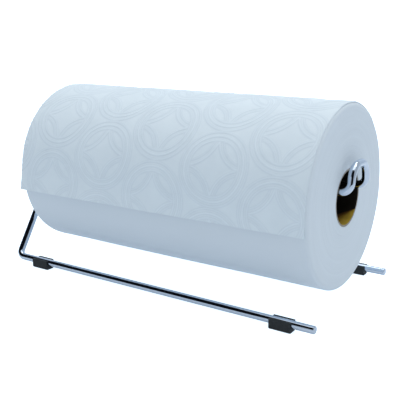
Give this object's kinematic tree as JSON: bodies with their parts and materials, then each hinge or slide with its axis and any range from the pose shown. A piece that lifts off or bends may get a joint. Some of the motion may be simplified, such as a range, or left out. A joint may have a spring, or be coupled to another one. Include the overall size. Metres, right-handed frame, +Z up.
{
  "type": "paper towel holder",
  "caption": "Tabletop paper towel holder bent from one chromed wire with clip-on feet; the roll turns on two arms inside its core, kept on by an upturned arch.",
  "frame": {"origin": "on the table, under the middle of the holder", "axes": "+X along the roll, from the legs to the open end that the roll goes on over; +Z up; the towel's free end hangs at -Y"},
  "size_m": [0.285, 0.1436, 0.1496],
  "materials": {
    "chromed_wire": "polished",
    "black_rubber": "matte",
    "core_card": "matte",
    "towel_paper": "matte"
  },
  "bodies": {
    "frame": {"wire_frame": "chromed_wire", "front_left_foot": "black_rubber", "front_right_foot": "black_rubber", "rear_left_foot": "black_rubber", "rear_right_foot": "black_rubber"},
    "roll": {"cardboard_core": "core_card", "paper_roll": "towel_paper", "free_sheet": "towel_paper"}
  },
  "joints": [
    {"name": "roll_spin", "type": "hinge", "parent": "frame", "child": "roll", "pos_m": [0.0027, 0, 0.0808], "axis": [1, 0, 0], "continuous": true}
  ]
}
